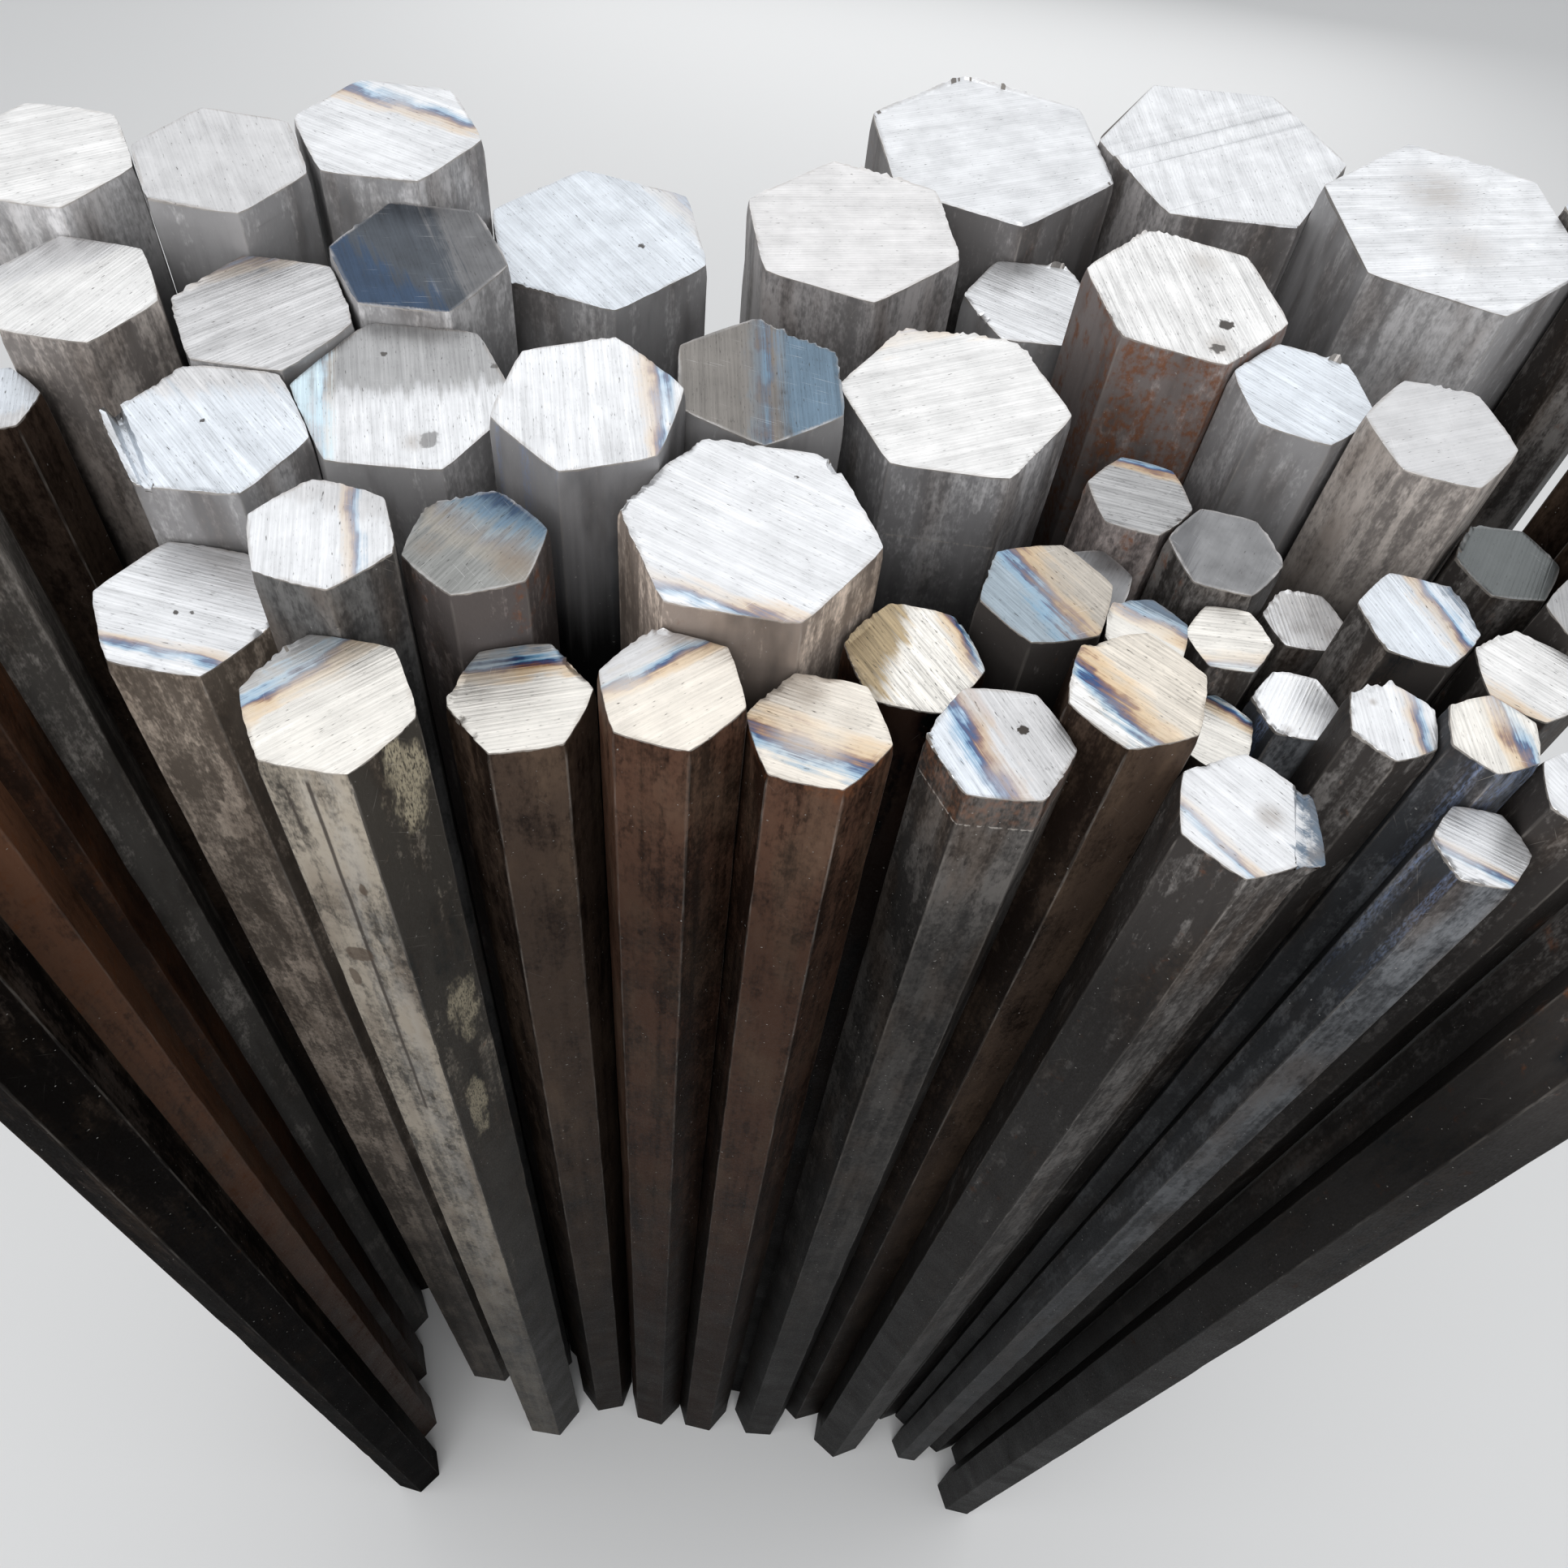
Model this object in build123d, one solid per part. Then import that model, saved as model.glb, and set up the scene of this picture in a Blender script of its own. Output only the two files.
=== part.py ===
"""Standing stock of hexagonal steel bars: cut lengths of many sizes, packed upright on a floor.

Every bar is one solid that stands on z = 0. A bar is set against a bar that already stands, on a
compass bearing from it, and slides out along that bearing until their flats or corners meet, so the
whole bundle follows when a size is changed.
"""
import math
import os

from build123d import *

os.makedirs("parts", exist_ok=True)

# Across-flats sizes of the stock
AF_FINE = 24.0
AF_THIN = 27.0
AF_LIGHT = 30.0
AF_SLIM = 32.0
AF_COMMON = 36.0
AF_MEDIUM = 41.0
AF_STOUT = 46.0
AF_BROAD = 50.0
AF_THICK = 55.0
AF_HEAVY = 60.0
AF_LARGE = 65.0
AF_GREAT = 70.0
AF_HUGE = 85.0

# Lengths, fits and the marks that sawing leaves
CUT_LENGTH = 1000.0
SEAT_GAP = 0.3
EDGE_ROUNDING = 0.9
SAW_SLOPE = 1.2
SAW_ALLOWANCE = 10.0
LEDGE_WIDTH = 5.0
LEDGE_DROP = 3.5
LEDGE_SLOPE = 12.0
LIP_WALL = 1.6
LIP_TIP = 0.6
LIP_ROOT = 12.0

FLATS = 6
FLAT_STEP = 360.0 / FLATS
HALF_STEP = FLAT_STEP / 2
PROBE_STEP = 0.001

# Each bar: name, size, turn of a corner from +X, length over CUT_LENGTH, the bar it stands
# against and the bearing from that bar. Angles are degrees, anticlockwise from +X.
BARS = [
    ("bar_18", AF_LARGE, 52, 12, None, 0),
    ("bar_25", AF_COMMON, 48, -6, "bar_18", 290),
    ("bar_24", AF_COMMON, 45, 3, "bar_18", 249),
    ("bar_26", AF_COMMON, 50, -11, "bar_25", 47),
    ("bar_15", AF_BROAD, 17, 17, "bar_18", 140),
    ("bar_16", AF_BROAD, 33, 6, "bar_15", 28),
    ("bar_27", AF_COMMON, 57, -3, "bar_26", 301),
    ("bar_17", AF_LARGE, 53, -3, "bar_16", 6),
    ("bar_14", AF_HEAVY, 57, 0, "bar_15", 163),
    ("bar_33", AF_COMMON, 15, 5, "bar_27", 21),
    ("bar_38", AF_FINE, 15, -26, "bar_33", 18),
    ("bar_34", AF_FINE, 53, -15, "bar_38", 77),
    ("bar_32", AF_FINE, 15, -10, "bar_34", 187),
    ("bar_28", AF_COMMON, 11, -2, "bar_32", 169),
    ("bar_29", AF_FINE, 8, -21, "bar_28", 48),
    ("bar_30", AF_LIGHT, 43, -10, "bar_29", 59),
    ("bar_31", AF_SLIM, 47, -10, "bar_30", 318),
    ("bar_39", AF_COMMON, 20, -10, "bar_33", 316),
    ("bar_40", AF_FINE, 51, -22, "bar_38", 16),
    ("bar_35", AF_FINE, 52, -32, "bar_31", 348),
    ("bar_02", AF_BROAD, 53, 2, "bar_14", 147),
    ("bar_03", AF_BROAD, 57, 7, "bar_02", 29),
    ("bar_13", AF_BROAD, 58, 2, "bar_02", 265),
    ("bar_21", AF_STOUT, 52, -19, "bar_13", 268),
    ("bar_19", AF_COMMON, 45, 18, "bar_21", 356),
    ("bar_20", AF_COMMON, 18, 6, "bar_19", 16),
    ("bar_23", AF_COMMON, 11, -17, "bar_20", 292),
    ("bar_22", AF_MEDIUM, 52, 0, "bar_19", 278),
    ("bar_41", AF_FINE, 20, 4, "bar_40", 297),
    ("bar_36", AF_SLIM, 45, 0, "bar_35", 303),
    ("bar_50", AF_THICK, 56, 15, "bar_03", 107),
    ("bar_04", AF_GREAT, 42, -14, "bar_50", 352),
    ("bar_42", AF_FINE, 18, 9, "bar_41", 345),
    ("bar_44", AF_FINE, 51, -6, "bar_42", 263),
    ("bar_49", AF_BROAD, 53, 17, "bar_02", 111),
    ("bar_43", AF_LIGHT, 29, -7, "bar_36", 338),
    ("bar_45", AF_THIN, 21, 8, "bar_44", 19),
    ("bar_46", AF_THIN, 47, -3, "bar_43", 40),
    ("bar_37", AF_LIGHT, 57, -15, "bar_46", 112),
    ("bar_12", AF_MEDIUM, 46, 17, "bar_37", 146),
    ("bar_11", AF_MEDIUM, 40, 5, "bar_12", 139),
    ("bar_10", AF_HEAVY, 43, 9, "bar_11", 130),
    ("bar_09", AF_STOUT, 57, -29, "bar_10", 133),
    ("bar_06", AF_HUGE, 39, -15, "bar_09", 100),
    ("bar_05", AF_GREAT, 39, -11, "bar_06", 228),
    ("bar_55", AF_THIN, 45, 0, "bar_45", 328),
    ("bar_48", AF_BROAD, 55, 17, "bar_49", 184),
    ("bar_01", AF_STOUT, 54, 7, "bar_48", 291),
    ("bar_47", AF_THIN, 20, -6, "bar_01", 242),
    ("bar_57", AF_MEDIUM, 52, 0, "bar_47", 244),
    ("bar_58", AF_MEDIUM, 46, 4, "bar_57", 277),
    ("bar_59", AF_COMMON, 52, -1, "bar_58", 291),
    ("bar_60", AF_SLIM, 45, 0, "bar_59", 285),
    ("bar_56", AF_SLIM, 48, -1, "bar_55", 250),
    ("bar_54", AF_SLIM, 43, -1, "bar_46", 53),
    ("bar_53", AF_COMMON, 48, 0, "bar_54", 69),
    ("bar_07", AF_HUGE, 56, -13, "bar_06", 3),
    ("bar_08", AF_HUGE, 37, 1, "bar_07", 321),
    ("bar_52", AF_LIGHT, 45, 2, "bar_08", 330),
    ("bar_51", AF_STOUT, 49, 4, "bar_52", 70),
]

# Bars whose last sliver was snapped off, not sawn: the flat it tore from, counted from the turn,
# and how far the torn lip rises over the saw cut and leans out from the flat
TORN_EDGES = {"bar_13": (2, 2.5, 1.5), "bar_39": (5, -1.0, 5.0)}


def direction(angle):
    """Unit vector in plan on a bearing."""
    return Vector(math.cos(math.radians(angle)), math.sin(math.radians(angle)), 0)


def flat_bearing(turn, number):
    """Bearing that a flat of a hexagon faces, the flats numbered round from its turn."""
    return turn + HALF_STEP + FLAT_STEP * (number % FLATS)


def half_width(size, turn, angle):
    """Half of a hexagon's extent along a bearing, measured to its sharp corners."""
    corner_radius = size / 2 / math.cos(math.radians(HALF_STEP))
    offset = (angle - turn + HALF_STEP) % FLAT_STEP - HALF_STEP
    return corner_radius * math.cos(math.radians(offset))


def blocked_stretch(start, bearing, size, turn, other):
    """Distances along a bearing between which a bar would touch another: where it enters and leaves."""
    place, other_size, other_turn = other
    enter, leave = -math.inf, math.inf
    for normal in (t + HALF_STEP + FLAT_STEP * k for t in (turn, other_turn) for k in range(FLATS // 2)):
        axis = direction(normal)
        reach = half_width(size, turn, normal) + half_width(other_size, other_turn, normal) + SEAT_GAP
        lag = (place - start).dot(axis)
        speed = direction(bearing).dot(axis)
        if abs(speed) < 1e-9:
            if abs(lag) >= reach:
                return None
            continue
        near, far = sorted(((lag - reach) / speed, (lag + reach) / speed))
        enter, leave = max(enter, near), min(leave, far)
    return (enter, leave) if enter < leave else None


def slide_out(start, bearing, size, turn, standing):
    """First place along a bearing where the bar clears every bar that stands already."""
    distance = 0.0
    while True:
        stretches = [blocked_stretch(start, bearing, size, turn, other) for other in standing.values()]
        probe = distance + PROBE_STEP
        ways_out = [leave for enter, leave in filter(None, stretches) if enter < probe < leave]
        if not ways_out:
            return start + direction(bearing) * distance
        distance = max(ways_out)


def stand_all():
    """Plan position of every bar, each seated against the one that the schedule names."""
    standing = {}
    for name, size, turn, _, against, bearing in BARS:
        start = standing[against][0] if against else Vector(0, 0, 0)
        standing[name] = (slide_out(start, bearing, size, turn, standing), size, turn)
    return standing


def footprint_centre(standing):
    """Middle of the rectangle that the rounded bars fill in plan."""
    rounding_loss = EDGE_ROUNDING / math.cos(math.radians(HALF_STEP))

    def extreme(bearing):
        reaches = []
        for place, size, turn in standing.values():
            corner_radius = size / 2 / math.cos(math.radians(HALF_STEP)) - rounding_loss
            corners = (direction(turn + FLAT_STEP * k) * corner_radius for k in range(FLATS))
            reaches.append(max((place + c).dot(direction(bearing)) for c in corners) + EDGE_ROUNDING)
        return max(reaches)

    return Vector((extreme(0) - extreme(180)) / 2, (extreme(90) - extreme(270)) / 2, 0)


def hexagon_bar(size, turn, length, fall):
    """One bar on z = 0: rounded long edges, square foot and a sawn end that falls towards a bearing."""
    corner_radius = size / 2 / math.cos(math.radians(HALF_STEP))
    outline = RegularPolygon(radius=corner_radius, side_count=FLATS, rotation=turn)
    outline = fillet(outline.vertices(), EDGE_ROUNDING)
    blank = extrude(outline, length + SAW_ALLOWANCE)
    downhill = direction(fall)
    cut_normal = Vector(0, 0, 1) + downhill * math.tan(math.radians(SAW_SLOPE))
    return split(blank, bisect_by=Plane(origin=(0, 0, length), z_dir=cut_normal), keep=Keep.BOTTOM)


def tear_edge(bar, size, length, bearing, rise, lean):
    """Sink a ledge below the saw cut along one flat and leave the torn lip standing on the flat."""
    outward = direction(bearing)
    sliver = Box(2 * LEDGE_WIDTH, 2 * size, SAW_ALLOWANCE * 2, align=(Align.MIN, Align.CENTER, Align.MIN))
    inner_edge = outward * (size / 2 - LEDGE_WIDTH)
    seat = Location((inner_edge.X, inner_edge.Y, length - LEDGE_DROP), (0, 0, bearing))
    bar = bar - seat * Rotation(0, LEDGE_SLOPE, 0) * sliver
    flat_top = Vector(0, 0, length) + outward * (size / 2)
    section = Plane(origin=flat_top, x_dir=outward, z_dir=outward.cross(Vector(0, 0, 1)))
    corners = [(-LIP_WALL, -LEDGE_DROP - LIP_WALL), (lean - LIP_TIP, rise), (lean, rise), (0, -LIP_ROOT)]
    half_side = size / 2 * math.tan(math.radians(HALF_STEP)) - EDGE_ROUNDING
    return bar + extrude(section * make_face(Polyline(*corners, close=True)), half_side, both=True)


def build():
    standing = stand_all()
    centre = footprint_centre(standing)
    for index, (name, size, turn, over, _, _) in enumerate(BARS):
        length = CUT_LENGTH + over
        bar = hexagon_bar(size, turn, length, flat_bearing(turn, index))
        if name in TORN_EDGES:
            flat, rise, lean = TORN_EDGES[name]
            bar = tear_edge(bar, size, length, flat_bearing(turn, flat), rise, lean)
        export_step(Pos(standing[name][0] - centre) * bar, f"parts/{name}.step")


if __name__ == "__main__":
    build()
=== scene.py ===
"""Standing stock of hexagonal steel bars: sawn, heat-tinted ends over rolled and rusted sides."""
import math
from typing import NamedTuple, Sequence

import bmesh
import bpy
from bpy.props import FloatProperty, FloatVectorProperty, PointerProperty
from mathutils import Matrix, Vector, noise


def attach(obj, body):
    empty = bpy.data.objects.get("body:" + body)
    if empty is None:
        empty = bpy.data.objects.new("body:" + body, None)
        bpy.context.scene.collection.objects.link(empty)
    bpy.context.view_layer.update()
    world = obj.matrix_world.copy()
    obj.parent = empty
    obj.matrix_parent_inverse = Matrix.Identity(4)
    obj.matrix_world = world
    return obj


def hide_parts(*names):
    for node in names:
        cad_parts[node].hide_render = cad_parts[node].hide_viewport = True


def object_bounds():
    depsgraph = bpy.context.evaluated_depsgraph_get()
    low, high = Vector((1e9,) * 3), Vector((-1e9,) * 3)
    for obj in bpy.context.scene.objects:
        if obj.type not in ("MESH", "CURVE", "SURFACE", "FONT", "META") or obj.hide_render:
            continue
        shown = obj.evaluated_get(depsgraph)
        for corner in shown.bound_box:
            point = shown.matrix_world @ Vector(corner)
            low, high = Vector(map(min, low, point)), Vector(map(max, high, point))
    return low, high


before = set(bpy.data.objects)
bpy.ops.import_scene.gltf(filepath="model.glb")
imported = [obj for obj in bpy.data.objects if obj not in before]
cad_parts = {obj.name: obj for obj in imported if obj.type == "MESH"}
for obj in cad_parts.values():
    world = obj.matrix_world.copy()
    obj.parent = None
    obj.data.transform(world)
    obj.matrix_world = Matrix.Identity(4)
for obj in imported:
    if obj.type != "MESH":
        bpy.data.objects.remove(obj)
CAD_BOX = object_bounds()

bl_info = {
    "name": "Hexagonal Bar Stock",
    "version": (1, 0, 0),
    "blender": (4, 5, 0),
    "location": "3D View > Sidebar > Bar Stock",
    "description": "Dresses standing hexagonal bars with sawn ends, tint bands, scale and rust",
    "category": "Object",
}

MM = 0.001
FLATS = 6
FLAT_TURN = math.tau / FLATS

# Rings of points in a bar's crown, by depth under the sawn end, and rings inside its rim, by width, in mm
CROWN_DEPTHS = (14, 8, 4.5, 2.2, 0.9)
CAP_RINGS = (1.2, 0.8)
# How far burrs and tears reach down from the sawn end and in from the flats
RIM_DEPTH = 5 * MM
RIM_WIDTH = 3 * MM
# The fringe of the rim, which alone rises and sinks
FRINGE_DEPTH = 1 * MM
FRINGE_WIDTH = 0.9 * MM
# Ends of a level edge differ in height by less than this, since the sawn end slopes
LEVEL_EDGE = 0.8 * MM
SHARP_ANGLE = math.radians(38)
# Upward part of a face's normal: above the first on a level face, above the second on any face of a
# sawn end, and below the third on a side
LEVEL = 0.9
SAWN = 0.75
UPRIGHT = 0.5
# Bearings in the tables are whole degrees, and a flat within this of one is meant
SAME_FLAT = 5


def length(name, description, default):
    return FloatProperty(name=name, description=description, default=default, unit="LENGTH", precision=5)


def angle(name, description, degrees):
    return FloatProperty(name=name, description=description, default=math.radians(degrees), subtype="ANGLE")


def share(name, description, default):
    return FloatProperty(name=name, description=description, default=default, min=0, max=1, subtype="FACTOR")


def colour(name, description, *default):
    return FloatVectorProperty(
        name=name, description=description, default=default, subtype="COLOR", size=3, min=0, max=1
    )


class BarShape(bpy.types.PropertyGroup):
    """Sizes of the marks that rolling, sawing and handling leave on a bar"""

    edge_rounding: length("Edge rounding", "Radius of a bar's long edges", 0.9 * MM)
    rim_break: length("Rim break", "Width of the worn edge round a sawn end", 0.22 * MM)
    rim_step: length("Rim step", "Spacing of the points that carry burrs and chips", 1.0 * MM)
    burr_height: length("Burr height", "Height of the torn fringe where the saw comes out", 1.1 * MM)
    dent_depth: length("Dent depth", "Depth of the knocks along the long edges", 0.22 * MM)
    dent_step: length("Dent step", "Spacing of the rings that carry the knocks", 12 * MM)
    saw_relief: length("Saw relief", "Height of the saw lines", 0.07 * MM)
    scale_relief: length("Scale relief", "Height of the rolled scale", 0.16 * MM)


class BarColours(bpy.types.PropertyGroup):
    """Colours of bare, tinted, scaled and rusted steel"""

    straw: colour("Straw tint", "First heat tint", 0.64, 0.42, 0.19)
    bronze: colour("Bronze tint", "Second heat tint", 0.24, 0.105, 0.05)
    violet: colour("Violet tint", "Third heat tint", 0.09, 0.055, 0.105)
    blue: colour("Blue tint", "Fourth heat tint", 0.022, 0.075, 0.20)
    sky: colour("Sky tint", "Last heat tint", 0.20, 0.42, 0.62)
    stain: colour("Blue stain", "Blue haze that the heat left on a side", 0.17, 0.24, 0.42)
    pit: colour("Pits", "Dirt in pits, seams and tears", 0.045, 0.036, 0.03)
    smear: colour("Smears", "Brown film on the sawn ends", 0.24, 0.19, 0.145)
    scratch: colour("Scratches", "Fresh scratches across the saw lines", 0.9, 0.9, 0.9)
    rust: colour("Rust", "Rust on the sides", 0.17, 0.062, 0.024)
    oxide: colour("Brown scale", "Brown oxide that clouds the sides", 0.075, 0.05, 0.034)
    # Also the colour of the painted highlight along the long edges
    worn: colour("Worn edge", "Bare steel on edges and scratches", 0.36, 0.33, 0.30)
    dust: colour("Dust", "Specks of grit on the sides", 0.42, 0.41, 0.39)
    strip: colour("Grey strip", "Rubbed strip on a khaki side", 0.40, 0.38, 0.35)
    flake: colour("Pale flakes", "Flakes of old coating on a khaki side", 0.40, 0.35, 0.25)


class StudioSetup(bpy.types.PropertyGroup):
    """Camera, lamps and floor"""

    heading: angle("Heading", "Camera turn from +Y to +X", 6.9)
    pitch: angle("Pitch", "Camera tilt below the horizon", 56.55)
    roll: angle("Roll", "Camera roll", 8.26)
    place: FloatVectorProperty(
        name="Place", description="Camera location", default=(-0.0546, -0.3444, 1.3), subtype="TRANSLATION"
    )
    lens: FloatProperty(name="Lens", description="Focal length", default=32.61, unit="CAMERA")
    ambient: share("Ambient", "Strength of the pale surroundings", 0.55)
    air: colour("Surroundings", "Colour of the pale surroundings", 0.96, 0.98, 1.0)
    floor: colour("Floor", "Colour of the plain floor", 0.78, 0.78, 0.78)


def maths(operation, reflected=False):
    """An operator of Wire, which adds a Math node."""

    def operator(self, other=0.0):
        first, second = (other, self) if reflected else (self, other)
        return self.finish.add("ShaderNodeMath", {"operation": operation}, {0: first, 1: second})

    return operator


class Wire:
    """A node's output, with arithmetic that adds Math nodes."""

    def __init__(self, finish, socket):
        self.finish = finish
        self.socket = socket

    __add__ = __radd__ = maths("ADD")
    __sub__ = maths("SUBTRACT")
    __rsub__ = maths("SUBTRACT", reflected=True)
    __mul__ = __rmul__ = maths("MULTIPLY")
    __truediv__ = maths("DIVIDE")
    __rtruediv__ = maths("DIVIDE", reflected=True)
    __abs__ = maths("ABSOLUTE")
    least = maths("MINIMUM")
    most = maths("MAXIMUM")

    def swing(self, amount):
        """A grain about zero, times an amount."""
        return (self - 0.5) * amount

    def ramp(self, low, high):
        """0 below low, 1 above high and smooth between; low may be the larger."""
        return self.finish.add(
            "ShaderNodeMapRange",
            {"interpolation_type": "SMOOTHSTEP"},
            {"Value": self, "From Min": low, "From Max": high},
        )


class Finish:
    """The nodes of a material or of the world, under construction."""

    def __init__(self, owner):
        owner.use_nodes = True
        self.owner = owner
        self.tree = owner.node_tree
        self.tree.nodes.clear()

    def add(self, kind, settings=None, sockets=None, output=0):
        """Adds a node, sets it up, fills or links its sockets, and returns one of its outputs."""
        node = self.tree.nodes.new(kind)
        for key, value in (settings or {}).items():
            if key == "stops":
                self.set_stops(node.color_ramp.elements, value)
            else:
                setattr(node, key, value)
        for key, value in (sockets or {}).items():
            if isinstance(value, Wire):
                self.tree.links.new(value.socket, node.inputs[key])
            else:
                node.inputs[key].default_value = value
        return Wire(self, node.outputs[output]) if node.outputs else None

    @staticmethod
    def set_stops(elements, stops):
        while len(elements) < len(stops):
            elements.new(1.0)
        for element, (position, rgba) in zip(elements, stops):
            element.position = position
            element.color = rgba

    def stored(self, name):
        """A vector kept on the mesh."""
        return self.add("ShaderNodeAttribute", {"attribute_name": name}, output="Vector")

    def split(self, vector):
        """The three numbers of a vector."""
        first = self.add("ShaderNodeSeparateXYZ", {}, {0: vector})
        return [Wire(self, socket) for socket in first.socket.node.outputs]

    def measure(self, operation, vector, other):
        """A number worked out from two vectors."""
        return self.add("ShaderNodeVectorMath", {"operation": operation}, {0: vector, 1: other}, "Value")

    def mapped(self, vector, centre=(0, 0, 0), turn=0.0, unit=(1, 1, 1)):
        """Coordinates about a centre, turned round Z and counted in units."""
        return self.add(
            "ShaderNodeMapping",
            {"vector_type": "TEXTURE"},
            {"Vector": vector, "Location": centre, "Rotation": (0, 0, turn), "Scale": unit},
        )

    def grain(self, vector, scale=1.0, detail=2.0, roughness=0.5):
        """Noise from 0 to 1, about 0.5 on average."""
        sockets = {"Vector": vector, "Scale": scale, "Detail": detail, "Roughness": roughness}
        return self.add("ShaderNodeTexNoise", {}, sockets)

    def mix(self, factor, first, second, blend="MIX"):
        """Blends two colours, each a tuple or a wire."""
        first, second = (c if isinstance(c, Wire) else (*c, 1.0) for c in (first, second))
        return self.add(
            "ShaderNodeMix",
            {"data_type": "RGBA", "blend_type": blend, "clamp_factor": True},
            {0: factor, 6: first, 7: second},
            output=2,
        )

    def shade(self, base, factor):
        """A colour times a number."""
        grey = self.add("ShaderNodeCombineColor", {}, {0: factor, 1: factor, 2: factor})
        return self.mix(1.0, base, grey, "MULTIPLY")

    def close(self, base, roughness, metallic, height, depth, specular=0.5):
        """Ends a material in its shader, with a bump so deep from its height."""
        bump = self.add("ShaderNodeBump", {}, {"Strength": 1.0, "Distance": depth, "Height": height})
        looks = {"Base Color": base, "Roughness": roughness, "Metallic": metallic}
        gloss = {"Normal": bump, "Specular IOR Level": specular}
        shader = self.add("ShaderNodeBsdfPrincipled", {}, looks | gloss)
        self.add("ShaderNodeOutputMaterial", {}, {"Surface": shader})
        return self.owner


# Steels of the sawn ends, from a painted-light white and fresh saw cut to old and blued
STEELS = {
    # Painted light: whiter than sawn steel, for ends that lie low among taller neighbours
    "painted bright": (0.94, 0.95, 0.97),
    "bright": (0.74, 0.745, 0.76),
    "cool": (0.68, 0.715, 0.76),
    "warm": (0.76, 0.75, 0.74),
    "cream": (0.78, 0.75, 0.70),
    "sand": (0.77, 0.715, 0.64),
    "ash": (0.72, 0.705, 0.70),
    "pale": (0.58, 0.575, 0.58),
    "satin": (0.38, 0.378, 0.38),
    "dim": (0.235, 0.235, 0.24),
    "dark": (0.15, 0.15, 0.155),
    "slate": (0.07, 0.08, 0.095),
    "blued": (0.13, 0.17, 0.22),
    "steel blue": (0.13, 0.19, 0.25),
    "navy": (0.035, 0.06, 0.105),
    "haze": (0.27, 0.272, 0.262),
    "brown grey": (0.21, 0.195, 0.18),
    "tan": (0.34, 0.265, 0.165),
    "wheat": (0.68, 0.625, 0.55),
    "tan grey": (0.46, 0.42, 0.37),
    "blue grey": (0.30, 0.355, 0.40),
    "lilac": (0.44, 0.445, 0.50),
    "ice": (0.58, 0.70, 0.76),
    "green grey": (0.14, 0.15, 0.15),
}
# A steel whose red, green and blue add up to less than this shows a paler, rubbed rim
DARK_STEEL = 1.0
# Where on the tint's ramp the blue lies
BLUE_STOP = 0.66


class Cut(NamedTuple):
    """How one end was sawn. Angles are bearings in degrees from +X, and other places are in half flats."""

    steel: str
    saw: float  # direction of the saw lines
    lines: float = 1.0  # how strong the saw lines are
    mottle: float = 0.55  # how cloudy the steel is
    zones: Sequence = ()  # (bearing, offset, steel): past the offset the end has another steel
    bands: Sequence = ()  # (bearing from straw to blue, offset of the blue, width up to it, strength)
    pits: Sequence = ()  # (x, y, radius, strength)
    smears: Sequence = ()  # (x, y, radius, strength)


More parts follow.
